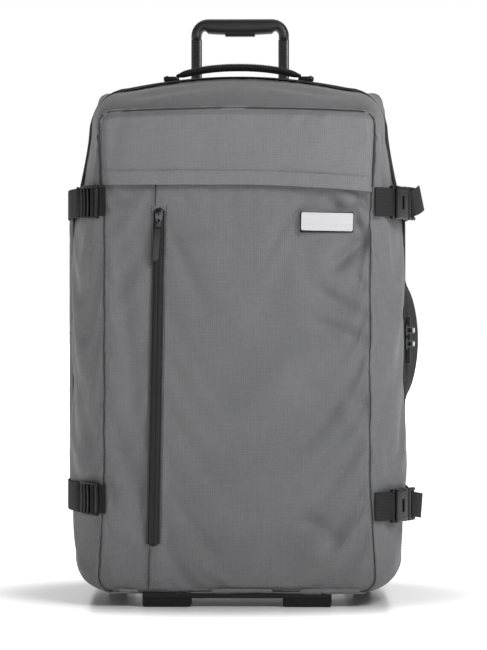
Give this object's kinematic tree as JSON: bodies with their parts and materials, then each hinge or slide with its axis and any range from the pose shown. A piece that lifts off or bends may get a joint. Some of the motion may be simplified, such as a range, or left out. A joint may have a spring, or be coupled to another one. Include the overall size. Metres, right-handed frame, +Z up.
{
  "type": "wheeled duffel bag",
  "caption": "Upright soft duffel bag with a zipped front half, side buckle straps, a telescoping trolley handle, carry handles, front feet and rear wheels.",
  "frame": {"origin": "on the floor under the middle of the bag's outline", "axes": "+Z up, +Y towards the wheels and trolley handle, -Y towards the front panel, +X towards the side with the lock"},
  "size_m": [0.4769, 0.313, 0.79],
  "materials": {
    "fabric": "matte grey ripstop polyester with a fine grid weave",
    "lining": "matte grey board",
    "webbing": "matte black woven polyester webbing",
    "zip": "matte black laminated zip tape",
    "plastic": "fine-textured black acetal and nylon mouldings",
    "grip": "satin dark grey moulding",
    "tube": "black anodised aluminium tube",
    "steel": "nickel-plated steel and zinc",
    "plate": "brushed aluminium",
    "tyre": "matte black rubber"
  },
  "bodies": {
    "case": {"back_shell": "fabric", "frame_board": "lining", "back_skid_plate": "plastic", "base_plate": "plastic", "outer_tube_left": "tube", "outer_tube_right": "tube", "handle_bezel": "plastic", "handle_foot_bracket": "plastic", "wheel_housing_left": "plastic", "wheel_housing_right": "plastic", "wheel_axle_left": "steel", "wheel_axle_right": "steel", "zip_tape_base": "zip", "hinge_gusset": "fabric", "lock_case": "plastic", "strap_rear_upper_right": "webbing", "strap_rear_lower_right": "webbing", "strap_rear_upper_left": "webbing", "strap_rear_lower_left": "webbing", "top_handle_anchor_left": "plastic", "top_handle_anchor_right": "plastic"},
    "lid": {"front_shell": "fabric", "zip_tape_lid": "zip", "pocket_flap": "fabric", "nameplate": "plate", "front_pocket_zip": "zip", "top_pocket_zip": "zip", "buckle_female_upper_right": "plastic", "buckle_female_lower_right": "plastic", "ladder_lock_upper_left": "plastic", "ladder_lock_lower_left": "plastic", "strap_front_upper_left": "webbing", "strap_front_lower_left": "webbing"},
    "trolley_mid": {"mid_tube_left": "tube", "mid_tube_right": "tube"},
    "trolley_inner": {"inner_tube_left": "tube", "inner_tube_right": "tube", "grip": "grip"},
    "release_button": {"release_button": "plastic"},
    "wheel_left": {"wheel_hub_left": "plastic", "tyre_left": "tyre"},
    "wheel_right": {"wheel_hub_right": "plastic", "tyre_right": "tyre"},
    "main_slider_upper": {"main_slider_upper": "steel"},
    "main_puller_upper": {"main_puller_upper": "steel"},
    "main_slider_lower": {"main_slider_lower": "steel"},
    "main_puller_lower": {"main_puller_lower": "steel"},
    "lock_dial_1": {"lock_dial_1": "plastic"},
    "lock_dial_2": {"lock_dial_2": "plastic"},
    "lock_dial_3": {"lock_dial_3": "plastic"},
    "lock_button": {"lock_button": "steel"},
    "top_handle": {"top_handle": "webbing"},
    "side_handle": {"side_handle": "webbing"},
    "front_pocket_slider": {"front_pocket_slider": "plastic"},
    "front_pocket_puller": {"front_pocket_puller": "plastic"},
    "top_pocket_slider": {"top_pocket_slider": "plastic"},
    "buckle_male_upper_right": {"buckle_male_upper_right": "plastic"},
    "buckle_male_lower_right": {"buckle_male_lower_right": "plastic"}
  },
  "joints": [
    {"name": "lid_hinge", "type": "hinge", "parent": "case", "child": "lid", "pos_m": [-0.2235, -0.035, 0.35], "axis": [0, 0, -1], "range_deg": [0, 105]},
    {"name": "trolley_mid_slide", "type": "slide", "parent": "case", "child": "trolley_mid", "axis": [0, 0, 1], "range_m": [0, 0.17]},
    {"name": "trolley_inner_slide", "type": "slide", "parent": "trolley_mid", "child": "trolley_inner", "axis": [0, 0, 1], "range_m": [0, 0.17]},
    {"name": "release_button_press", "type": "slide", "parent": "trolley_inner", "child": "release_button", "axis": [0, 0, 1], "range_m": [0, 0.005], "stiffness_N_per_m": 400, "springref_m": -0.002},
    {"name": "wheel_left_spin", "type": "hinge", "parent": "case", "child": "wheel_left", "pos_m": [-0.17, 0.113, 0.042], "axis": [1, 0, 0], "continuous": true},
    {"name": "wheel_right_spin", "type": "hinge", "parent": "case", "child": "wheel_right", "pos_m": [0.17, 0.113, 0.042], "axis": [1, 0, 0], "continuous": true},
    {"name": "main_slider_upper_slide", "type": "slide", "parent": "case", "child": "main_slider_upper", "axis": [0, 0, 1], "range_m": [0, 0.12]},
    {"name": "main_puller_upper_swing", "type": "hinge", "parent": "main_slider_upper", "child": "main_puller_upper", "pos_m": [0.2325, -0.035, 0.355], "axis": [0, 0, -1], "range_deg": [0, 150]},
    {"name": "main_slider_lower_slide", "type": "slide", "parent": "case", "child": "main_slider_lower", "axis": [0, 0, -1], "range_m": [0, 0.12]},
    {"name": "main_puller_lower_swing", "type": "hinge", "parent": "main_slider_lower", "child": "main_puller_lower", "pos_m": [0.2325, -0.035, 0.337], "axis": [0, 0, -1], "range_deg": [0, 150]},
    {"name": "lock_dial_1_turn", "type": "hinge", "parent": "case", "child": "lock_dial_1", "pos_m": [0.2238, 0.005, 0.3335], "axis": [0, 0, 1], "continuous": true},
    {"name": "lock_dial_2_turn", "type": "hinge", "parent": "case", "child": "lock_dial_2", "pos_m": [0.2238, 0.005, 0.342], "axis": [0, 0, 1], "continuous": true},
    {"name": "lock_dial_3_turn", "type": "hinge", "parent": "case", "child": "lock_dial_3", "pos_m": [0.2238, 0.005, 0.3505], "axis": [0, 0, 1], "continuous": true},
    {"name": "lock_button_press", "type": "slide", "parent": "case", "child": "lock_button", "axis": [-1, 0, 0], "range_m": [0, 0.0015], "stiffness_N_per_m": 300, "springref_m": -0.001},
    {"name": "top_handle_tilt", "type": "hinge", "parent": "case", "child": "top_handle", "pos_m": [0, 0, 0.6985], "axis": [1, 0, 0], "range_deg": [-25, 25]},
    {"name": "side_handle_tilt", "type": "hinge", "parent": "case", "child": "side_handle", "pos_m": [0.2262, 0.045, 0.342], "axis": [0, 0, 1], "range_deg": [-20, 20]},
    {"name": "front_pocket_slide", "type": "slide", "parent": "lid", "child": "front_pocket_slider", "axis": [-0.0179, 0, -0.9998], "range_m": [0, 0.4]},
    {"name": "front_puller_swing", "type": "hinge", "parent": "front_pocket_slider", "child": "front_pocket_puller", "pos_m": [-0.09975, -0.1557, 0.4985], "axis": [-0.9998, 0, 0.0179], "range_deg": [0, 90]},
    {"name": "top_pocket_slide", "type": "slide", "parent": "lid", "child": "top_pocket_slider", "axis": [1, 0, 0], "range_m": [0, 0.25]},
    {"name": "buckle_upper_right_release", "type": "slide", "parent": "case", "child": "buckle_male_upper_right", "axis": [0.515, 0.8572, 0], "range_m": [0, 0.026]},
    {"name": "buckle_lower_right_release", "type": "slide", "parent": "case", "child": "buckle_male_lower_right", "axis": [0.515, 0.8572, 0], "range_m": [0, 0.026]}
  ]
}
